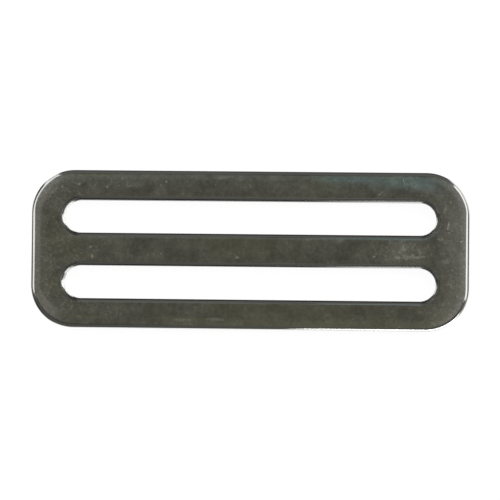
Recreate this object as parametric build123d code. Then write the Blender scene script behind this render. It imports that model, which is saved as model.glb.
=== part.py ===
"""Flat metal webbing keeper: one stamped plate with two long slots, side by side.

Webbing is threaded up through one slot, over the centre bar and down through the other.
The plate lies flat: length along X, width along Y, thickness along Z. The origin is the
centre of the underside, which rests on Z = 0. All dimensions are in millimetres.
"""
import os

from build123d import *

# Plate
plate_length = 60.0
plate_width = 21.7
plate_thickness = 2.5
corner_radius = 5.9
edge_round = 0.55  # tumbled edge, on both faces, round the outline and round each slot

# Slots for the webbing
slot_length = 51.1  # over the two full-round ends
slot_width = 4.5
centre_bar_width = 4.5  # metal left between the two slots

slot_offset = (centre_bar_width + slot_width) / 2


def keeper_plate() -> Part:
    """The whole keeper, a rounded plate pierced by two slots, with every edge eased."""
    with BuildPart() as plate:
        with BuildSketch():
            RectangleRounded(plate_length, plate_width, corner_radius)
            with Locations((0, slot_offset), (0, -slot_offset)):
                SlotOverall(slot_length, slot_width, mode=Mode.SUBTRACT)
        extrude(amount=plate_thickness)
        rims = plate.faces().filter_by(Axis.Z).edges()
        fillet(rims, radius=edge_round)
    return plate.part


os.makedirs("parts", exist_ok=True)

keeper = keeper_plate()
keeper.label = "keeper_plate"
export_step(keeper, "parts/keeper_plate.step")
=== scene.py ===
"""A flat steel webbing keeper, seen from above on a white table.

The keeper is one stamped plate with two long slots. Its shape follows a rule, one edge profile
swept round three closed outlines, so a node tree makes it from its named sizes. The steel's
finish is worked out from the distance to the nearest edge, so wear, grime, the sheared walls
and the highlights, dark reflections and shade painted along the edges all follow the shape.
Lengths are metres unless a name or a docstring says millimetres.
"""

import logging
import math
from dataclasses import dataclass, fields
from enum import Enum

import bmesh
import bpy
from bpy.types import Material, Mesh, NodeSocket, NodeTree, Object, World
from mathutils import Matrix, Vector


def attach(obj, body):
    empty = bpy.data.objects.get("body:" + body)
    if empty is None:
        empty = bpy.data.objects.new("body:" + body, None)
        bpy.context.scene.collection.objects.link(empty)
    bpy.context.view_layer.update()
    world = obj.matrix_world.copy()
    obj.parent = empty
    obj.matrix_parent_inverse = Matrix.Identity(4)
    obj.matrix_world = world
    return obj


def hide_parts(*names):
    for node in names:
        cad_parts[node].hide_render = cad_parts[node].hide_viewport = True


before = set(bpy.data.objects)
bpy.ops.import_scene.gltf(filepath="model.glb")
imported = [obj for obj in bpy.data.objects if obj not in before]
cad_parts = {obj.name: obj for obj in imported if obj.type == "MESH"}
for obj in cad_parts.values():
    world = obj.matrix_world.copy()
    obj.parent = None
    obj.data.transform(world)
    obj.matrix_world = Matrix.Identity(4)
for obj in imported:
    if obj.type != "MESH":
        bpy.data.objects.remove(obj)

log = logging.getLogger("keeper")

Pair = tuple[float, float]
Triple = tuple[float, float, float]
Colour = Triple
Corners = list[Triple]
Span = Pair  # where something starts to change, and where it has changed

WHITE: Colour = (1.0, 1.0, 1.0)
MILLIMETRE = 0.001


def from_screen(red: int, green: int, blue: int) -> Colour:
    """Turns a colour as a screen shows it into the linear one that a shader takes.

    Args:
        red: Red, 0 to 255.
        green: Green, 0 to 255.
        blue: Blue, 0 to 255.

    Returns:
        The linear colour, each part 0 to 1.
    """

    def linear(part: int) -> float:
        """One part of the colour, made linear."""
        share = part / 255
        return share / 12.92 if share <= 0.04045 else ((share + 0.055) / 1.055) ** 2.4

    return linear(red), linear(green), linear(blue)


class Num:
    """A number carried by a node's socket, so that node maths reads as plain arithmetic."""

    def __init__(self, bench: "Bench", socket: NodeSocket) -> None:
        """Wraps a socket.

        Args:
            bench: The bench whose tree holds the socket.
            socket: The output that carries the number.
        """
        self.bench = bench
        self.socket = socket

    def _do(self, operation: str, *others: "Num | float") -> "Num":
        """Adds one Math node that starts from this number."""
        return self.bench.maths(operation, self, *others)

    def __add__(self, other: "Num | float") -> "Num":
        """This plus another."""
        return self._do("ADD", other)

    __radd__ = __add__

    def __mul__(self, other: "Num | float") -> "Num":
        """This times another."""
        return self._do("MULTIPLY", other)

    __rmul__ = __mul__

    def __sub__(self, other: "Num | float") -> "Num":
        """This less another."""
        return self._do("SUBTRACT", other)

    def __rsub__(self, other: float) -> "Num":
        """Another less this."""
        return self.bench.maths("SUBTRACT", other, self)

    def __truediv__(self, other: "Num | float") -> "Num":
        """This divided by another."""
        return self._do("DIVIDE", other)

    def __rtruediv__(self, other: float) -> "Num":
        """Another divided by this."""
        return self.bench.maths("DIVIDE", other, self)

    def __pow__(self, power: float) -> "Num":
        """This raised to a power."""
        return self._do("POWER", power)

    def __neg__(self) -> "Num":
        """This with its sign turned."""
        return self._do("MULTIPLY", -1.0)

    def size(self) -> "Num":
        """This without its sign."""
        return self._do("ABSOLUTE")

    def sign(self) -> "Num":
        """1, 0 or -1, as this is over, at or under 0."""
        return self._do("SIGN")

    def root(self) -> "Num":
        """The square root of this."""
        return self._do("SQRT")

    def sin(self) -> "Num":
        """The sine of this, in radians."""
        return self._do("SINE")

    def cos(self) -> "Num":
        """The cosine of this, in radians."""
        return self._do("COSINE")

    def tan(self) -> "Num":
        """The tangent of this, in radians."""
        return self._do("TANGENT")

    def least(self, other: "Num | float") -> "Num":
        """The smaller of this and another."""
        return self._do("MINIMUM", other)

    def most(self, other: "Num | float") -> "Num":
        """The larger of this and another."""
        return self._do("MAXIMUM", other)

    def held(self) -> "Num":
        """This, held between 0 and 1."""
        return self.most(0.0).least(1.0)

    def under(self, other: "Num | float") -> "Num":
        """1 where this is less than another, else 0."""
        return self._do("LESS_THAN", other)

    def over(self, other: "Num | float") -> "Num":
        """1 where this is more than another, else 0."""
        return self._do("GREATER_THAN", other)

    def rise(self, low: float, high: float) -> "Num":
        """A soft step from 0 to 1.

        Args:
            low: The value where the step leaves 0.
            high: The value where it reaches 1.

        Returns:
            The step, from 0 to 1.
        """
        return self.bench.add(
            "ShaderNodeMapRange",
            {"interpolation_type": "SMOOTHSTEP"},
            {"Value": self, "From Min": low, "From Max": high},
        )

    def fall(self, low: float, high: float) -> "Num":
        """A soft step from 1 at low to 0 at high."""
        return 1.0 - self.rise(low, high)


class Bench:
    """A node tree while it is being built."""

    def __init__(self, tree: NodeTree) -> None:
        """Takes an empty or cleared tree.

        Args:
            tree: The tree that gets the nodes.
        """
        self.tree = tree

    @classmethod
    def emptied(cls, data: Material | World) -> "Bench":
        """The bench of a material or a world, cleared of its first nodes.

        Args:
            data: The material or the world.

        Returns:
            The bench.
        """
        data.use_nodes = True
        data.node_tree.nodes.clear()
        return cls(data.node_tree)

    def add(
        self,
        kind: str,
        settings: dict[str, object] | None = None,
        sockets: dict[str | int, object] | None = None,
        output: str | int = 0,
    ) -> Num:
        """Adds one node of any type.

        Args:
            kind: The node's type name.
            settings: Properties of the node, set before its sockets.
            sockets: Input name or number to a value, a Num, or a list of Nums.
            output: Name or number of the output to hand back.

        Returns:
            The chosen output.
        """
        node = self.tree.nodes.new(kind)
        for name, value in (settings or {}).items():
            setattr(node, name, value)
        for key, value in (sockets or {}).items():
            for one in value if isinstance(value, list) else [value]:
                if isinstance(one, Num):
                    self.tree.links.new(one.socket, node.inputs[key])
                else:
                    node.inputs[key].default_value = one
        return Num(self, node.outputs[output] if node.outputs else node.inputs[0])

    def maths(self, operation: str, *values: Num | float) -> Num:
        """Adds one Math node.

        Args:
            operation: The node's operation.
            values: Its inputs, in order.

        Returns:
            The result.
        """
        return self.add("ShaderNodeMath", {"operation": operation}, dict(enumerate(values)))

    def vector(self, x: Num | float, y: Num | float, z: Num | float) -> Num:
        """A vector from three numbers."""
        return self.add("ShaderNodeCombineXYZ", None, {0: x, 1: y, 2: z})

    def parts(self, vector: Num) -> tuple[Num, ...]:
        """The three numbers of a vector."""
        node = self.add("ShaderNodeSeparateXYZ", None, {0: vector}).socket.node
        return tuple(Num(self, socket) for socket in node.outputs)

    def stretched(
        self, vector: Num, scale: Triple = (1.0, 1.0, 1.0), turn: float = 0.0, shift: float = 0.0
    ) -> Num:
        """A copy of some coordinates, moved, turned about Z and then scaled.

        Args:
            vector: The coordinates.
            scale: The factor along each axis, after turning.
            turn: The turn about Z, in degrees.
            shift: How far the coordinates are moved along every axis first.

        Returns:
            The new coordinates.
        """
        turned = self.add(
            "ShaderNodeVectorRotate",
            {"rotation_type": "Z_AXIS"},
            {"Vector": vector, "Center": (-shift, shift, 0.0), "Angle": math.radians(turn)},
        )
        return self.add("ShaderNodeVectorMath", {"operation": "MULTIPLY"}, {0: turned, 1: scale})

    def cloud(self, vector: Num, scale: float, detail: float, roughness: float) -> Num:
        """Soft noise about 0.5.

        Args:
            vector: The coordinates.
            scale: Blotches to a unit of length.
            detail: How many finer layers are added.
            roughness: How strong the finer layers are.

        Returns:
            The noise, mostly 0.3 to 0.7.
        """
        return self.add(
            "ShaderNodeTexNoise",
            None,
            {"Vector": vector, "Scale": scale, "Detail": detail, "Roughness": roughness},
        )

    def tint(self, share: Num, under: Num | Colour, over: Num | Colour) -> Num:
        """Lays one colour over another.

        Args:
            share: How much of the upper colour shows, 0 to 1.
            under: The colour below.
            over: The colour on top.

        Returns:
            The mixed colour.
        """
        full = [c if isinstance(c, Num) else (*c, 1.0) for c in (under, over)]
        return self.add(
            "ShaderNodeMix", {"data_type": "RGBA"}, {0: share, 6: full[0], 7: full[1]}, output=2
        )


@dataclass(frozen=True)
class PlateSizes:
    """The keeper's sizes, in metres. The tree that makes the plate has an input for each."""

    plate_length: float = 0.0600
    plate_width: float = 0.0217
    thickness: float = 0.0025
    corner_radius: float = 0.0059
    slot_length: float = 0.0511
    slot_width: float = 0.0045
    slot_pitch: float = 0.0090
    edge_round: float = 0.00055
    crown_reach: float = 0.0014  # how far in from a wall the face is still easing off
    crown_slope: float = 0.05  # radians, where the eased face meets the rounded edge


class Step(Enum):
    """How many facets each stretch of the edge profile gets, from mid-wall to the flat face."""

    WALL = 2
    ROUND = 9
    CROWN = 5


class Metal(Enum):
    """Which side of an outline the metal is on, as a sign for the way in from the wall."""

    INSIDE = 1.0
    OUTSIDE = -1.0


@dataclass(frozen=True)
class Scuff:
    """A soft oval patch on the face: wear, a scratch, a spot or a stain. In millimetres."""

    x: float
    y: float
    long: float  # half its length
    wide: float  # half its width
    strength: float
    turn: float = 0.0  # degrees that its length is turned from X

    def on(self, x: Num, y: Num) -> Num:
        """How strong the patch is at a place on the plate.

        Args:
            x: The place along the plate, in millimetres.
            y: The place across it, in millimetres.

        Returns:
            The strength, full in the patch's middle and 0 from its edge on.
        """
        c, s = math.cos(math.radians(self.turn)), math.sin(math.radians(self.turn))
        along = (x * c + y * s - (self.x * c + self.y * s)) / self.long
        over = (y * c - x * s - (self.y * c - self.x * s)) / self.wide
        return (along * along + over * over).fall(0.0, 1.0) * self.strength


# Where handling has roughened and paled the polish.
SCUFFS = (
    Scuff(x=21.4, y=-0.1, long=5.2, wide=2.2, strength=1.6, turn=4.0),
    Scuff(x=17.3, y=0.9, long=1.6, wide=0.7, strength=0.7, turn=-14.0),
    Scuff(x=26.5, y=1.6, long=1.6, wide=2.6, strength=0.6),
    Scuff(x=27.2, y=5.0, long=1.2, wide=2.6, strength=0.6),
    Scuff(x=-22.0, y=-0.6, long=2.2, wide=1.3, strength=0.6, turn=5.0),
    Scuff(x=-1.9, y=-0.4, long=1.4, wide=0.9, strength=0.6, turn=30.0),
    Scuff(x=-26.6, y=7.6, long=3.6, wide=1.7, strength=0.6, turn=48.0),
    Scuff(x=-18.0, y=9.2, long=5.5, wide=1.0, strength=0.5),
    Scuff(x=-21.0, y=-8.6, long=5.0, wide=1.4, strength=0.6),
    Scuff(x=16.5, y=-9.6, long=7.0, wide=0.8, strength=0.6),
)

# Single spots and scratches, paler than the face.
MARKS = (
    Scuff(x=21.0, y=-0.1, long=4.6, wide=2.1, strength=0.15, turn=3.0),
    Scuff(x=20.8, y=0.1, long=0.9, wide=0.35, strength=0.26, turn=12.0),
    Scuff(x=21.8, y=-0.7, long=1.1, wide=0.5, strength=0.3),
    Scuff(x=24.8, y=-0.4, long=0.3, wide=0.12, strength=0.3, turn=80.0),
    Scuff(x=26.7, y=-1.3, long=0.85, wide=0.5, strength=0.24),
    Scuff(x=27.6, y=-2.4, long=0.4, wide=0.14, strength=0.36, turn=-10.0),
    Scuff(x=27.4, y=6.8, long=0.4, wide=0.14, strength=0.3, turn=80.0),
    Scuff(x=26.6, y=5.7, long=0.7, wide=0.3, strength=0.26, turn=85.0),
    Scuff(x=21.0, y=9.6, long=0.8, wide=0.11, strength=0.34, turn=-76.0),
    Scuff(x=27.1, y=3.6, long=0.75, wide=0.2, strength=0.6, turn=78.0),
    Scuff(x=26.1, y=1.8, long=0.45, wide=0.35, strength=0.4),
    Scuff(x=28.9, y=1.5, long=0.25, wide=0.2, strength=0.55),
    Scuff(x=28.4, y=-6.0, long=0.28, wide=0.2, strength=0.55, turn=90.0),
    Scuff(x=17.8, y=7.9, long=0.45, wide=0.16, strength=0.42, turn=35.0),
    Scuff(x=17.0, y=7.2, long=0.16, wide=0.14, strength=0.45),
    Scuff(x=17.0, y=-0.7, long=0.28, wide=0.18, strength=0.45, turn=20.0),
    Scuff(x=20.3, y=-0.8, long=0.4, wide=0.22, strength=0.42, turn=10.0),
    Scuff(x=23.2, y=-0.7, long=1.0, wide=0.26, strength=0.36, turn=4.0),
    Scuff(x=21.0, y=0.8, long=0.5, wide=0.2, strength=0.32, turn=40.0),
    Scuff(x=-21.6, y=-0.9, long=0.26, wide=0.4, strength=0.45),
    Scuff(x=-21.8, y=0.3, long=0.3, wide=0.22, strength=0.4),
    Scuff(x=-16.7, y=2.0, long=0.35, wide=0.14, strength=0.45, turn=-10.0),
    Scuff(x=-12.1, y=-0.6, long=0.16, wide=0.16, strength=0.4),
    Scuff(x=-11.5, y=9.3, long=0.24, wide=0.2, strength=0.5),
    Scuff(x=-12.2, y=8.8, long=0.2, wide=0.2, strength=0.38),
    Scuff(x=-23.5, y=8.9, long=0.26, wide=0.22, strength=0.5),
    Scuff(x=-19.6, y=8.5, long=0.2, wide=0.2, strength=0.42),
    Scuff(x=-25.8, y=8.5, long=0.3, wide=0.18, strength=0.4, turn=60.0),
    Scuff(x=-1.7, y=-1.0, long=0.35, wide=0.18, strength=0.38),
    Scuff(x=-4.7, y=8.9, long=0.16, wide=0.16, strength=0.3),
    Scuff(x=-3.4, y=10.0, long=1.8, wide=0.25, strength=0.14, turn=6.0),
    Scuff(x=-9.2, y=-9.6, long=1.7, wide=0.3, strength=0.22),
    Scuff(x=-4.6, y=-9.5, long=1.6, wide=0.3, strength=0.22, turn=-2.0),
)

# Where the face is tinged brown.
STAINS = (
    Scuff(x=-21.4, y=10.1, long=2.6, wide=0.24, strength=0.9),
    Scuff(x=-18.0, y=10.0, long=3.0, wide=0.24, strength=0.6),
    Scuff(x=-9.0, y=-9.4, long=5.0, wide=0.35, strength=0.7, turn=-1.0),
    Scuff(x=-22.5, y=-9.3, long=4.0, wide=0.3, strength=0.6),
    Scuff(x=18.0, y=-9.0, long=3.0, wide=0.5, strength=0.6),
    Scuff(x=-21.8, y=-0.9, long=0.9, wide=0.6, strength=0.7),
)


@dataclass(frozen=True)
class Place:
    """A place on the plate, as the material's tree works it out. Distances are millimetres."""

    mm: Num  # the place as a vector
    x: Num
    y: Num
    z: Num
    outline: Num  # how far in it is from the outline
    slot: Num  # how far out it is from the nearer slot
    inset: Num  # how far it is from the nearest wall of all
    beside: Num  # how far it is along Y from the nearer slot's middle line
    at_end: Num  # 1 round a slot's end, 0 elsewhere


@dataclass(frozen=True)
class Edges:
    """Which part of the edge a place is on, 1 on that part and 0 off it."""

    rim: Num  # the rounded edge and all that lies past it
    wall: Num  # the sheared wall, with the outermost part of its rounding, where a dark reflection and highlights are painted
    upright: Num  # the wall alone, below the rounding at its top
    end_glint: Num  # where a highlight is painted round the slots' ends


@dataclass(frozen=True)
class Wear:
    """What has become of the steel at a place, mostly 0 to 1."""

    tone: Num  # how light the steel is
    grain: Num
    blotch: Num
    mottle: Num
    margin: Num  # the pale bands along the plate's two ends: worn polish and a painted sheen
    flecks: Num
    pitted: Num
    scratched: Num
    marked: Num
    stained: Num


@dataclass(frozen=True)
class Cover:
    """How much of the face each kind of wear colours where it is strongest, 0 to 1."""

    stained: float = 0.50
    flecks: float = 0.50
    scratched: float = 0.16
    pitted: float = 0.35


@dataclass(frozen=True)
class Roughness:
    """The roughness of the cleanest steel, and what else adds to it where it is strongest."""

    clean: float = 0.055
    blotch: float = 0.03
    flecks: float = 0.16
    marked: float = 0.20
    margin: float = 0.10
    slot_end: float = 0.35
    wall: float = 0.15
    upright: float = 0.20


@dataclass(frozen=True)
class Relief:
    """How far each thing raises or lowers the steel where it is strongest, in millimetres."""

    edge: float = 0.003
    grain: float = 0.0006
    scratched: float = 0.0008
    pitted: float = 0.0008


@dataclass(frozen=True)
class SteelFinish:
    """Dark polished steel that has been handled: mottled, scuffed and lighter at its edges, with
    highlights, dark reflections and shade painted along the edges and a painted sheen at the ends.

    Its places are millimetres along and across the plate, from the plate's middle.
    """

    sizes: PlateSizes
    scuffs: tuple[Scuff, ...] = SCUFFS
    marks: tuple[Scuff, ...] = MARKS
    stains: tuple[Scuff, ...] = STAINS
    dark: Colour = from_screen(62, 62, 54)
    light: Colour = from_screen(83, 83, 74)
    stain: Colour = from_screen(86, 84, 60)
    speck: Colour = from_screen(140, 140, 128)
    # pale: worn polish along the ends, with a painted sheen
    worn_and_sheen: Colour = from_screen(142, 139, 133)
    edge: Colour = from_screen(113, 113, 111)
    # dark: the pits, and the shade painted round the slots' ends
    dull_and_shade: Colour = from_screen(46, 47, 42)
    # dark: the sheared walls, and the dark reflection painted along the rims
    sheared_and_shade: Colour = from_screen(44, 45, 42)
    flank: Colour = from_screen(128, 128, 121)
    # white: the highlight painted on the rims and walls
    bright: Colour = from_screen(236, 236, 232)
    cover: Cover = Cover()
    rough: Roughness = Roughness()
    relief: Relief = Relief()
    rim_band: Span = (0.44, 0.54)  # in from a wall, where the rounded edge meets the face
    wall_band: Span = (0.13, 0.25)  # in from a wall, where the painted dark reflection and highlight end
    end_band: Span = (0.02, 0.12)  # the same, round the slots' ends
    upright_band: Span = (1.75, 2.05)  # up from the underside, where the upright wall ends
    near_change: Span = (3.5, 9.0)  # along the plate, where the near wall's painted highlight widens
    hairline: float = 0.016  # half a fine scratch's width, as a step of the noise
    slants: tuple[Pair, ...] = ((4.0, 11.0), (-68.0, 29.0), (38.0, 47.0))  # degrees, shift

    def place(self, bench: Bench) -> Place:
        """Works out where a place on the plate is, and how far from its walls.

        Args:
            bench: The material's tree.

        Returns:
            The place.
        """
        here = bench.add("ShaderNodeTexCoord", None, None, "Object")
        scaled = {0: here, "Scale": 1 / MILLIMETRE}
        mm = bench.add("ShaderNodeVectorMath", {"operation": "SCALE"}, scaled)
        x, y, z = bench.parts(mm)
        size = {one.name: getattr(self.sizes, one.name) / MILLIMETRE for one in fields(self.sizes)}
        across_x = x.size() - (size["plate_length"] / 2 - size["corner_radius"])
        across_y = y.size() - (size["plate_width"] / 2 - size["corner_radius"])
        corner = (across_x.most(0.0) ** 2.0 + across_y.most(0.0) ** 2.0).root()
        outline = size["corner_radius"] - corner - across_x.most(across_y).least(0.0)
        straight = (size["slot_length"] - size["slot_width"]) / 2
        slot_x = (x.size() - straight).most(0.0)
        slot_y = y.size() - size["slot_pitch"] / 2
        slot = (slot_x * slot_x + slot_y * slot_y).root() - size["slot_width"] / 2
        beside = y - y.sign() * (size["slot_pitch"] / 2)
        at_end = x.size().rise(straight - 0.1, straight + 0.5) * slot.fall(0.75, 1.0)
        return Place(mm, x, y, z, outline, slot, outline.least(slot), beside, at_end)

    def edges(self, at: Place) -> Edges:
        """Tells the parts of the edge apart.

        Args:
            at: The place on the plate.

        Returns:
            The parts of the edge.
        """
        x, y, beside = at.x, at.y, at.beside
        on_left, upper_slot = x.under(0.0), y.over(0.0)
        # The masks below say where a highlight is painted round the slots' ends.
        left_tip = (beside + upper_slot * 0.35).rise(-1.1, -0.5) * beside.fall(0.0, 0.4)
        left_corner = beside.rise(1.0, 1.3) * beside.fall(1.8, 2.1) * (1.0 - upper_slot) * 0.5
        right_tip = beside.rise(-1.7, -1.1) * beside.fall(-0.5, 0.5)
        end_glint = (left_tip + left_corner) * on_left + right_tip * x.over(0.0)

        # The painted dark reflection and highlight reach further over the rounding in three places
        # along the outline.
        near_right = y.fall(-10.3, -9.1) * x.rise(*self.near_change) * 0.12
        left_lower = y.fall(-3.0, 4.0) * x.fall(-29.2, -28.0) * 0.11
        left_upper = y.rise(4.5, 7.0) * x.fall(-28.6, -27.6) * 0.13
        reach = near_right + (left_lower + left_upper) * at.outline.under(1.0)
        wall_along = (at.inset - reach).fall(*self.wall_band)
        wall_at_end = (at.inset - end_glint * (0.03 + on_left * 0.09)).fall(*self.end_band)
        wall = wall_along * (1.0 - at.at_end) + wall_at_end * at.at_end
        rim = at.inset.fall(*self.rim_band)
        return Edges(rim, wall, at.z.fall(*self.upright_band), end_glint)

    def painted_highlight(self, at: Place, edges: Edges) -> Num:
        """How strongly a highlight is painted on each part of the wall and rim.

        Args:
            at: The place on the plate.
            edges: The parts of the edge.

        Returns:
            0 where the wall keeps its own colour, 1 where the highlight is painted in full.
        """
        x, y, beside = at.x, at.y, at.beside
        right_half = x.rise(*self.near_change)
        near_left = y.fall(-10.6, -9.6) * (1.0 - right_half) * at.outline.fall(0.06, 0.15)
        near_right = y.fall(-9.5, -7.9) * right_half * 0.80
        left = x.fall(-29.6, -29.0) * 0.05
        far_left = y.rise(8.6, 9.6) * x.fall(-26.8, -25.8) * 0.9
        at_corners = y.rise(4.5, 7.5) * 0.75 + y.fall(-7.0, -4.5) * 0.12
        right = x.rise(26.8, 28.0) * (0.12 + at_corners)
        outer = near_left + near_right + left + far_left + right

        lower_slot = y.under(0.0)
        lip = (at.slot - lower_slot * 0.05).fall(0.04, 0.13)
        inner = beside.over(0.0) * x.rise(7.0, 19.0) * lip * (1.0 - at.at_end)
        on_outline = at.outline.under(1.0)
        along = (outer * on_outline + inner * (1.0 - on_outline)) * (1.0 - edges.upright)
        glint_gap = beside.rise(0.2, 0.6) * beside.fall(1.9, 2.1) * lower_slot * 0.5
        left_ends = x.fall(-24.6, -24.0) * (1.0 - glint_gap)
        ends = (left_ends + edges.end_glint * (0.85 - lower_slot * 0.2)) * at.at_end
        return (along + ends).held()

    def patches(self, at: Place, scuffs: tuple[Scuff, ...]) -> Num | float:
        """The strengths of some patches, added up."""
        return sum((scuff.on(at.x, at.y) for scuff in scuffs), 0.0)

    def hairlines(self, bench: Bench, mm: Num) -> Num:
        """Fine scratches, in short runs at several slants.

        Args:
            bench: The material's tree.
            mm: Place on the plate, in millimetres.

        Returns:
            1 on a scratch and 0 off it.
        """
        total: Num | float = 0.0
        for turn, shift in self.slants:
            drawn_out = bench.stretched(mm, (0.18, 2.4, 1.0), turn, shift)
            run = bench.cloud(drawn_out, scale=1.0, detail=1.0, roughness=0.4)
            broad = bench.stretched(mm, (0.5, 1.0, 1.0), turn, shift + 5)
            gap = bench.cloud(broad, scale=0.6, detail=1.0, roughness=0.5)
            line = (run - 0.5).size().fall(0.0, self.hairline)
            total = line * gap.rise(0.52, 0.62) + total
        return total.held()

    def margin(self, at: Place) -> Num:
        """How pale the plate's two ends are: partly worn polish, partly a painted sheen.

        Args:
            at: The place on the plate.

        Returns:
            The paleness, 0 to about 0.4.
        """
        cornered = at.outline - at.y.size().rise(5.0, 8.5) * 0.8
        left = cornered.fall(1.05, 1.50) * 0.18 + at.outline.fall(1.0, 3.2) * 0.05
        right = at.outline.fall(0.5, 1.6) * 0.23 + at.outline.fall(1.2, 5.0) * 0.16
        right = right * (1.0 - at.y.rise(5.5, 8.5) * 0.6)
        return at.x.fall(-28.0, -24.5) * left + at.x.rise(23.5, 28.0) * right

    def wear(self, bench: Bench, at: Place) -> Wear:
        """Works out the wear of the face.

        Args:
            bench: The material's tree.
            at: The place on the plate.

        Returns:
            The wear.
        """
        ends = at.x.size().rise(15.0, 27.0)
        near_side = at.y.fall(-8.6, -7.6) * at.outline.fall(0.9, 1.8) * at.x.rise(-18.0, -4.0)
        margin = self.margin(at)
        grain = bench.cloud(at.mm, scale=2.2, detail=6.0, roughness=0.75)
        blotch = bench.cloud(at.mm, scale=0.42, detail=4.0, roughness=0.6)
        mottle = bench.cloud(at.mm, scale=5.0, detail=2.0, roughness=0.6).rise(0.36, 0.62)
        drawn_out = bench.stretched(at.mm, (0.6, 1.0, 1.0), turn=8.0, shift=31.0)
        drift = bench.cloud(drawn_out, scale=0.16, detail=2.0, roughness=0.5)
        slanted = bench.stretched(at.mm, turn=40.0, shift=17.0)
        specks = bench.cloud(slanted, scale=2.6, detail=4.0, roughness=0.7)
        tilted = bench.stretched(at.mm, turn=15.0, shift=53.0)
        pits = bench.cloud(tilted, scale=2.0, detail=3.0, roughness=0.6)

        handled = 0.18 + 0.55 * ends + margin + self.patches(at, self.scuffs)
        handled = (handled + (blotch - 0.5) * 2.0).held()
        broken = 0.20 + specks.rise(0.35, 0.6) * 0.25 + mottle * 0.75
        stained = drift.rise(0.50, 0.68) * 0.35 + blotch.rise(0.55, 0.75) * 0.25
        tone = 0.40 + (grain - 0.5) * 2.3 + (blotch - 0.5) * 1.6
        return Wear(
            tone=(tone + near_side * 0.30 + handled * 0.16).held(),
            grain=grain,
            blotch=blotch,
            mottle=mottle,
            margin=margin,
            flecks=specks.rise(0.52, 0.78) * handled,
            pitted=pits.rise(0.58, 0.78) * (0.25 + 0.75 * handled),
            scratched=self.hairlines(bench, at.mm) * (0.3 + 0.7 * handled),
            marked=self.patches(at, self.marks) * broken,
            stained=stained + near_side * 0.35 + self.patches(at, self.stains),
        )

    def face(self, bench: Bench, wear: Wear) -> Num:
        """Colours the polished face.

        Args:
            bench: The material's tree.
            wear: The wear of the face.

        Returns:
            The face's colour.
        """
        colour = bench.tint(wear.tone, self.dark, self.light)
        colour = bench.tint((wear.stained * self.cover.stained).held(), colour, self.stain)
        colour = bench.tint((wear.flecks * self.cover.flecks).held(), colour, self.speck)
        # The pale bands along the ends are worn polish with a painted sheen.
        pale = wear.margin * (0.25 + wear.grain + wear.mottle * 0.7)
        colour = bench.tint(pale, colour, self.worn_and_sheen)
        colour = bench.tint(wear.scratched * self.cover.scratched, colour, self.speck)
        colour = bench.tint(wear.pitted * self.cover.pitted, colour, self.dull_and_shade)
        return bench.tint(wear.marked.held(), colour, self.speck)

    def edged(self, bench: Bench, at: Place, edges: Edges, face: Num) -> Num:
        """Adds the rounded edges and the walls to the face's colour, with the shade, dark
        reflections and highlights painted on them.

        Args:
            bench: The material's tree.
            at: The place on the plate.
            edges: The parts of the edge.
            face: The face's colour.

        Returns:
            The colour of the whole plate.
        """
        # Round the slots' ends the rim is darkened as painted shade, most across the middle of the
        # right ends.
        on_left = at.x.under(0.0)
        facing = at.beside.rise(-1.9, -1.3) * at.beside.fall(0.5, 1.2) * at.x.over(0.0)
        lower_half = at.beside.under(0.0) * (0.25 - on_left * 0.15)
        shade = at.at_end * (0.58 + facing * 0.42 + lower_half + on_left * 0.22).least(1.0)
        colour = bench.tint(edges.rim, face, bench.tint(shade, self.edge, self.dull_and_shade))
        upright_grain = bench.stretched(at.mm, (3.2, 3.2, 0.4))
        streaks = bench.cloud(upright_grain, scale=1.0, detail=4.0, roughness=0.65).rise(0.3, 0.7)
        # On the rounding this colour is a painted dark reflection; on the upright wall it is
        # streaked sheared steel.
        flank = bench.tint(edges.upright * (0.45 + streaks * 0.55), self.sheared_and_shade, self.flank)
        # The highlight is painted over the wall and rim colour.
        steel = bench.tint(self.painted_highlight(at, edges), flank, self.bright)
        return bench.tint(edges.wall, colour, steel)

    def build(self, name: str) -> Material:
        """Makes the material.

        Args:
            name: The material's name.

        Returns:
            The finished material.
        """
        material = bpy.data.materials.new(name)
        bench = Bench.emptied(material)
        at = self.place(bench)
        edges = self.edges(at)
        wear = self.wear(bench, at)
        colour = self.edged(bench, at, edges, self.face(bench, wear))

        rough = self.rough
        roughness = rough.clean + wear.blotch * rough.blotch + wear.flecks * rough.flecks
        roughness = roughness + wear.marked * rough.marked + wear.margin * rough.margin
        roughness = roughness + edges.rim * at.at_end * rough.slot_end
        roughness = roughness + edges.wall * (rough.wall + edges.upright * rough.upright)
        swell = bench.cloud(at.mm, scale=0.6, detail=2.0, roughness=0.5)
        height = swell * edges.rim * self.relief.edge + wear.grain * self.relief.grain
        height = height - wear.scratched * self.relief.scratched
        height = height - wear.pitted * self.relief.pitted
        normal = bench.add("ShaderNodeBump", None, {"Distance": MILLIMETRE, "Height": height})
        steel = bench.add(
            "ShaderNodeBsdfPrincipled",
            None,
            {"Base Color": colour, "Metallic": 1.0, "Roughness": roughness, "Normal": normal},
        )
        bench.add("ShaderNodeOutputMaterial", None, {"Surface": steel})
        return material


@dataclass(frozen=True)
class Outline:
    """One closed outline of the plate: a rectangle with rounded corners."""

    length: Num  # along X
    width: Num  # along Y
    radius: Num  # of its corners
    shift: Num | float  # how far along Y its middle is from the plate's
    metal: Metal


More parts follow.
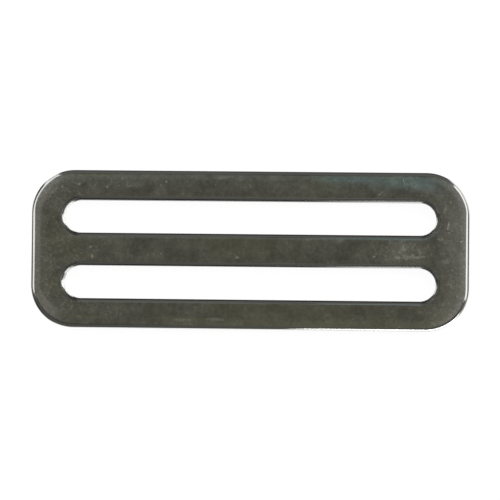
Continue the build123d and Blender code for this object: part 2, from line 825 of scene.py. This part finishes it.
@dataclass
class KeeperPlate:
    """The whole keeper: one plate, pierced by two slots."""

    sizes: PlateSizes
    name: str = "keeper_steel_plate"
    corner_facets: int = 40
    end_radius: float = 0.49995  # of a slot's width, just short of a half
    weld: float = 2e-6  # how near two points are that become one, in metres

    def profile(self, bench: Bench, size: dict[str, Num], metal: Metal) -> Num:
        """The edge's section, as an open curve from the top face round to the underside.

        Args:
            bench: The plate's tree.
            size: The plate's sizes by name.
            metal: The side of the outline that the metal is on.

        Returns:
            The curve, with the distance from the wall along X and the height along Y.
        """
        half = sum(step.value for step in Step)
        line = bench.add("GeometryNodeMeshLine", None, {"Count": 2 * half + 1})
        from_middle = half - bench.add("GeometryNodeInputIndex")
        step = from_middle.size()
        on_wall = (step / Step.WALL.value).held()
        on_round = ((step - Step.WALL.value) / Step.ROUND.value).held()
        on_crown = ((step - Step.WALL.value - Step.ROUND.value) / Step.CROWN.value).held()
        slope, edge = size["crown_slope"], size["edge_round"]
        lean = math.pi / 2 - on_round * (math.pi / 2 - slope)
        start = edge * (1.0 - slope.sin())
        crown = size["crown_reach"] - start
        lift = slope.tan() * crown / 2.0
        centre = size["thickness"] / 2.0 - lift - edge * slope.cos()
        inwards = edge * (1.0 - lean.sin()) + on_crown * crown
        eased = 1.0 - on_crown
        height = on_wall * centre + edge * lean.cos() + lift * (1.0 - eased * eased)
        middle = size["thickness"] / 2.0
        level = middle + height * from_middle.sign()
        spot = bench.vector(inwards * -metal.value, -level, 0.0)  # swept, it hangs upside down
        moved = bench.add("GeometryNodeSetPosition", None, {"Geometry": line, "Position": spot})
        return bench.add("GeometryNodeMeshToCurve", None, {"Mesh": moved})

    def rim(self, bench: Bench, size: dict[str, Num], outline: Outline) -> Num:
        """Sweeps the edge's section round one closed outline.

        Args:
            bench: The plate's tree.
            size: The plate's sizes by name.
            outline: The outline.

        Returns:
            The band of faces, open at its two inner rings.
        """
        span = {"Width": outline.length, "Height": outline.width}
        box = bench.add("GeometryNodeCurvePrimitiveQuadrilateral", None, span)
        corners = {
            "Curve": box,
            "Count": self.corner_facets,
            "Radius": outline.radius,
            "Limit Radius": True,
        }
        rounded = bench.add("GeometryNodeFilletCurve", {"mode": "POLY"}, corners)
        aside = bench.vector(0.0, outline.shift, 0.0)
        placed = bench.add(
            "GeometryNodeTransform", None, {"Geometry": rounded, "Translation": aside}
        )
        upright = bench.add("GeometryNodeSetCurveNormal", {"mode": "Z_UP"}, {"Curve": placed})
        section = self.profile(bench, size, outline.metal)
        return bench.add(
            "GeometryNodeCurveToMesh", None, {"Curve": upright, "Profile Curve": section}
        )

    def tree(self, steel: Material) -> NodeTree:
        """Builds the node tree that makes the plate.

        Args:
            steel: The material that the plate gets.

        Returns:
            The tree, with an input for each of the plate's sizes.
        """
        group = bpy.data.node_groups.new("plate by its sizes", "GeometryNodeTree")
        for one in fields(self.sizes):
            group.interface.new_socket(one.name, in_out="INPUT", socket_type="NodeSocketFloat")
        group.interface.new_socket("plate", in_out="OUTPUT", socket_type="NodeSocketGeometry")
        bench = Bench(group)
        inputs = bench.add("NodeGroupInput").socket.node
        size = {one.name: Num(bench, inputs.outputs[one.name]) for one in fields(self.sizes)}

        plate = (size["plate_length"], size["plate_width"], size["corner_radius"])
        slot = (size["slot_length"], size["slot_width"], size["slot_width"] * self.end_radius)
        apart = size["slot_pitch"] / 2.0
        outlines = (
            Outline(*plate, 0.0, Metal.INSIDE),
            Outline(*slot, apart, Metal.OUTSIDE),
            Outline(*slot, -apart, Metal.OUTSIDE),
        )
        bands = [self.rim(bench, size, outline) for outline in outlines]
        walls = bench.add("GeometryNodeJoinGeometry", None, {"Geometry": bands})

        beside = bench.add("GeometryNodeInputMeshEdgeNeighbors")
        x, y, z = bench.parts(bench.add("GeometryNodeInputPosition"))
        top_rings = beside.under(1.5) * z.over(size["thickness"] / 2.0)
        rings = bench.add(
            "GeometryNodeMeshToCurve", None, {"Mesh": walls, "Selection": top_rings}
        )
        flat = bench.add("GeometryNodeFillCurve", {"mode": "TRIANGLES"}, {"Curve": rings})
        faces = [
            bench.add(
                "GeometryNodeSetPosition",
                None,
                {"Geometry": flat, "Position": bench.vector(x, y, level)},
            )
            for level in (size["thickness"], 0.0)
        ]
        closed = bench.add("GeometryNodeJoinGeometry", None, {"Geometry": [walls, *faces]})
        welded = bench.add(
            "GeometryNodeMergeByDistance", None, {"Geometry": closed, "Distance": self.weld}
        )
        smooth = bench.add("GeometryNodeSetShadeSmooth", None, {"Geometry": welded})
        real = bench.add("GeometryNodeRealizeInstances", None, {"Geometry": smooth})
        dressed = bench.add(
            "GeometryNodeSetMaterial", None, {"Geometry": real, "Material": steel}
        )
        bench.add("NodeGroupOutput", None, {"plate": dressed})
        return group

    def mesh(self, steel: Material) -> Mesh:
        """Makes the plate's mesh from its sizes.

        Args:
            steel: The plate's material.

        Returns:
            The plain mesh, with its faces turned outwards.
        """
        holder = bpy.data.objects.new("plate_rule", bpy.data.meshes.new("plate_rule"))
        bpy.context.collection.objects.link(holder)
        group = self.tree(steel)
        modifier = holder.modifiers.new("rule", "NODES")
        modifier.node_group = group
        for item in group.interface.items_tree:
            if item.in_out == "INPUT":
                modifier[item.identifier] = getattr(self.sizes, item.name)
        evaluated = holder.evaluated_get(bpy.context.evaluated_depsgraph_get())
        mesh = bpy.data.meshes.new_from_object(evaluated)
        holder.modifiers.remove(modifier)
        bpy.data.objects.remove(holder)

        shape = bmesh.new()
        shape.from_mesh(mesh)
        bmesh.ops.recalc_face_normals(shape, faces=shape.faces)
        open_edges = sum(not edge.is_manifold for edge in shape.edges)
        log.info("%s: %d open edges", self.name, open_edges)
        shape.to_mesh(mesh)
        shape.free()
        return mesh

    def build(self, steel: Material) -> Object:
        """Makes the plate and puts it in place of the frame's solid.

        Args:
            steel: The plate's material.

        Returns:
            The finished piece.
        """
        mesh = self.mesh(steel)
        mesh.name = self.name
        piece = bpy.data.objects.new(self.name, mesh)
        bpy.context.collection.objects.link(piece)
        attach(piece, "root")
        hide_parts("keeper_plate")
        return piece


@dataclass(frozen=True)
class Upright:
    """Something flat that stands round the object and faces it. Its angles are in degrees."""

    name: str
    bearing: float  # round from +X, anticlockwise from above
    half_angle: float  # how far it spans to each side of its bearing
    low: float  # elevation of its lower edge
    high: float  # elevation of its upper edge

    def extent(self, reach: float) -> Triple:
        """Its size when it stands a given way off.

        Args:
            reach: How far out it stands, in metres.

        Returns:
            Its width, its height and the height of its middle, in metres.
        """
        low = reach * math.tan(math.radians(self.low))
        high = reach * math.tan(math.radians(self.high))
        width = 2 * reach * math.tan(math.radians(self.half_angle))
        return width, high - low, (high + low) / 2

    def stand(self, reach: float) -> Matrix:
        """Its place when it stands a given way off.

        Args:
            reach: How far out it stands, in metres.

        Returns:
            Its place, with its face turned to the object.
        """
        angle = math.radians(self.bearing)
        out = Vector((math.cos(angle), math.sin(angle), 0.0))
        turn = out.to_track_quat("Z", "Y").to_matrix().to_4x4()
        lift = Matrix.Translation((0.0, 0.0, self.extent(reach)[2]))
        return lift @ (Matrix.Translation(out * reach) @ turn)


@dataclass(frozen=True)
class Panel(Upright):
    """A soft light panel."""

    watts: float


@dataclass(frozen=True)
class Card(Upright):
    """A plain card that only the steel's reflections show."""

    colour: Colour


NO_FADE: Span = (-1.0, -0.9)  # short of every card, so that a card has one colour


@dataclass(frozen=True)
class Canopy:
    """A flat card hung level over the table, which only the steel's reflections show."""

    name: str
    corners: tuple[Pair, ...]  # in order round its edge, metres
    height: float
    colour: Colour
    fade: Span = NO_FADE  # along Y, from where it is white to where it has its own colour


COOL_WHITE = (1.30, 1.36, 1.45)

PANELS = (
    Panel("left_panel", 161.5, half_angle=27.5, low=12, high=68.5, watts=3.5),
    Panel("far_left_panel", 128, half_angle=6, low=12, high=54, watts=0.355),
    Panel("right_panel", 15.5, half_angle=29.5, low=17, high=68, watts=4.27),
    Panel("near_right_panel", -60, half_angle=28, low=1, high=16, watts=0.6),
)

CARDS = (
    Card("far_card", 90, half_angle=45, low=1, high=79, colour=(0.51, 0.53, 0.50)),
    Card("near_card", -130.5, half_angle=43.5, low=1, high=78, colour=(0.40, 0.40, 0.38)),
    Card("near_right_card", -51, half_angle=37, low=16, high=77, colour=(0.36, 0.36, 0.34)),
    Card("left_low_card", 155.5, half_angle=33.5, low=1, high=12, colour=(0.22, 0.22, 0.21)),
    Card("right_low_card", 15.5, half_angle=29.5, low=1, high=17, colour=(0.30, 0.30, 0.29)),
)

CANOPIES = (
    Canopy(
        "far_canopy",
        corners=((-0.15, 0.018), (0.15, 0.018), (0.15, 0.045), (-0.15, 0.045)),
        height=0.2,
        colour=COOL_WHITE,
        fade=(0.020, 0.028),
    ),
    Canopy(
        "far_high_canopy",
        corners=((-0.8, 0.15), (0.8, 0.15), (0.8, 0.285), (-0.8, 0.285)),
        height=1.2,
        colour=COOL_WHITE,
    ),
    Canopy(
        "teal_canopy",
        corners=(
            (0.0093, 0.0159), (0.0167, 0.0156), (0.0214, 0.0147), (0.0269, 0.0138),
            (0.0311, 0.0137), (0.0311, 0.0300), (0.0093, 0.0300),
        ),
        height=0.1,
        colour=(1.32, 1.68, 1.98),
    ),
    Canopy(
        "dark_canopy",
        corners=((-0.0055, 0.070), (0.0092, 0.070), (0.0092, 0.105), (-0.0055, 0.105)),
        height=0.19,
        colour=(0.05, 0.05, 0.05),
    ),
)


@dataclass
class Studio:
    """The white table, the light and the camera."""

    panels: tuple[Panel, ...] = PANELS
    cards: tuple[Card, ...] = CARDS
    canopies: tuple[Canopy, ...] = CANOPIES
    reach: float = 0.35  # how far out the panels and the upright cards stand
    floor_size: float = 4.0
    floor_drop: float = 1e-5  # how far the table top is under the keeper
    floor_grey: Colour = (0.95, 0.95, 0.95)
    floor_glow: float = 0.94  # how far the table shows plain white, whatever falls on it
    room_light: float = 0.45  # how strongly the white room lights things
    camera_height: float = 0.280  # how far it is from the keeper's top face
    lean_right: float = 2.0  # degrees that the camera stands off the vertical, towards +X
    lean_near: float = 1.5  # degrees that it stands off the vertical, towards -Y
    roll: float = 0.62  # degrees that the object looks turned clockwise
    view_width: float = 0.06838  # what the picture takes in from side to side, at that face
    shift_right: float = -0.00007  # how far the keeper looks moved to the right
    shift_up: float = -0.00005  # how far it looks moved up
    sensor_width: float = 36.0  # millimetres
    nearest: float = 0.01  # how near to the camera things are still seen

    def sheet(self, name: str, corners: Corners, material: Material) -> Object:
        """Makes one flat piece of the studio.

        Args:
            name: The piece's name.
            corners: Its corners, in order.
            material: Its material.

        Returns:
            The piece.
        """
        mesh = bpy.data.meshes.new(name)
        mesh.from_pydata(corners, [], [tuple(range(len(corners)))])
        mesh.materials.append(material)
        piece = bpy.data.objects.new(name, mesh)
        bpy.context.collection.objects.link(piece)
        return piece

    def rectangle(self, width: float, height: float, level: float = 0.0) -> Corners:
        """The corners of a flat rectangle about the origin, in order."""
        w, h = width / 2, height / 2
        return [(-w, -h, level), (w, -h, level), (w, h, level), (-w, h, level)]

    def floor(self) -> Object:
        """Lays the white table top, which keeps the object's shadow.

        Returns:
            The table top.
        """
        material = bpy.data.materials.new("white table")
        bench = Bench.emptied(material)
        white = bench.add("ShaderNodeBsdfDiffuse", None, {"Color": (*self.floor_grey, 1.0)})
        glow = bench.add("ShaderNodeEmission", None, {"Color": (*WHITE, 1.0)})
        shown = self.shown(bench) * self.floor_glow
        mixed = bench.add("ShaderNodeMixShader", None, {0: shown, 1: white, 2: glow})
        bench.add("ShaderNodeOutputMaterial", None, {"Surface": mixed})
        corners = self.rectangle(self.floor_size, self.floor_size, -self.floor_drop)
        return self.sheet("table_top", corners, material)

    def shown(self, bench: Bench) -> Num:
        """1 for rays that show the background, straight on or in the steel.

        Args:
            bench: The tree of the background's material or of the world.

        Returns:
            1 for camera, glossy and transmission rays, else 0.
        """
        camera = bench.add("ShaderNodeLightPath", None, None, "Is Camera Ray")
        node = camera.socket.node
        glossy = Num(bench, node.outputs["Is Glossy Ray"])
        through = Num(bench, node.outputs["Is Transmission Ray"])
        return camera.most(glossy).most(through)

    def sky(self) -> None:
        """Lights the room evenly, with a white background."""
        world = bpy.data.worlds.new("white room")
        bench = Bench.emptied(world)
        light = {"Color": (*WHITE, 1.0), "Strength": self.room_light}
        room = bench.add("ShaderNodeBackground", None, light)
        white = bench.add("ShaderNodeBackground", None, {"Color": (*WHITE, 1.0)})
        mixed = bench.add("ShaderNodeMixShader", None, {0: self.shown(bench), 1: room, 2: white})
        bench.add("ShaderNodeOutputWorld", None, {"Surface": mixed})
        bpy.context.scene.world = world

    def light(self, panel: Panel) -> Object:
        """Sets up one soft light panel.

        Args:
            panel: The panel.

        Returns:
            Its lamp.
        """
        data = bpy.data.lights.new(panel.name, "AREA")
        data.shape = "RECTANGLE"
        data.size, data.size_y, _ = panel.extent(self.reach)
        data.energy = panel.watts
        lamp = bpy.data.objects.new(panel.name, data)
        bpy.context.collection.objects.link(lamp)
        lamp.matrix_world = panel.stand(self.reach)
        lamp.visible_camera = False
        return lamp

    def card(self, card: Card) -> Object:
        """Stands up one card that shows only in reflections.

        Args:
            card: The card.

        Returns:
            The piece.
        """
        width, height, _ = card.extent(self.reach)
        board = self.board(card.name, self.rectangle(width, height), card.colour)
        board.matrix_world = card.stand(self.reach)
        return board

    def hang(self, canopy: Canopy) -> Object:
        """Hangs one level card that shows only in reflections."""
        corners = [(x, y, canopy.height) for x, y in canopy.corners]
        return self.board(canopy.name, corners, canopy.colour, canopy.fade)

    def board(self, name: str, corners: Corners, colour: Colour, fade: Span = NO_FADE) -> Object:
        """Makes a flat card that glows in its own colour and shows only in reflections.

        Args:
            name: The card's name.
            corners: Its corners, in order.
            colour: Its colour.
            fade: The two places along Y between which it goes from white to its colour.

        Returns:
            The card.
        """
        material = bpy.data.materials.new(name)
        bench = Bench.emptied(material)
        _, y, _ = bench.parts(bench.add("ShaderNodeTexCoord", None, None, "Object"))
        shade = bench.tint(y.rise(*fade), WHITE, colour)
        glow = bench.add("ShaderNodeEmission", None, {"Color": shade})
        bench.add("ShaderNodeOutputMaterial", None, {"Surface": glow})
        board = self.sheet(name, corners, material)
        board.visible_camera = False
        board.visible_diffuse = False
        board.visible_shadow = False
        return board

    def camera(self, target: Vector) -> Object:
        """Hangs the camera over the object.

        Args:
            target: The point that the camera looks at.

        Returns:
            The camera.
        """
        data = bpy.data.cameras.new("camera")
        data.sensor_width = self.sensor_width
        data.lens = self.sensor_width * self.camera_height / self.view_width
        data.clip_start = self.nearest
        camera = bpy.data.objects.new("camera", data)
        bpy.context.collection.objects.link(camera)
        right, near = math.radians(self.lean_right), math.radians(self.lean_near)
        back = Vector((math.sin(right), -math.sin(near), 1.0)).normalized()
        aim = target - Vector((self.shift_right, self.shift_up, 0.0))
        across = Vector((0.0, 1.0, 0.0)).cross(back).normalized()
        upright = Matrix((across, back.cross(across), back)).transposed().to_4x4()
        turn = Matrix.Rotation(math.radians(self.roll), 4, "Z")
        camera.matrix_world = Matrix.Translation(aim + back * self.camera_height) @ upright @ turn
        bpy.context.scene.camera = camera
        return camera

    def build(self, target: Vector) -> list[Object]:
        """Sets up everything round the object.

        Args:
            target: The point that the camera looks at.

        Returns:
            The table top, the panels, the cards and the camera.
        """
        pieces = [self.floor()]
        self.sky()
        pieces += [self.light(panel) for panel in self.panels]
        pieces += [self.card(card) for card in self.cards]
        pieces += [self.hang(canopy) for canopy in self.canopies]
        pieces.append(self.camera(target))
        bpy.context.scene.view_settings.view_transform = "Standard"
        return pieces


def main() -> None:
    """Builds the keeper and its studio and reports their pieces."""
    logging.basicConfig(level=logging.INFO, format="%(message)s")
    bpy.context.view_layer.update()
    sizes = PlateSizes()
    steel = SteelFinish(sizes).build("dark polished steel")
    plate = KeeperPlate(sizes).build(steel)
    log.info("%s: %d faces, in %s", plate.name, len(plate.data.polygons), steel.name)
    for piece in Studio().build(Vector((0.0, 0.0, sizes.thickness))):
        log.info("%s: %s", piece.name, piece.type.lower())


if __name__ == "__main__":
    main()
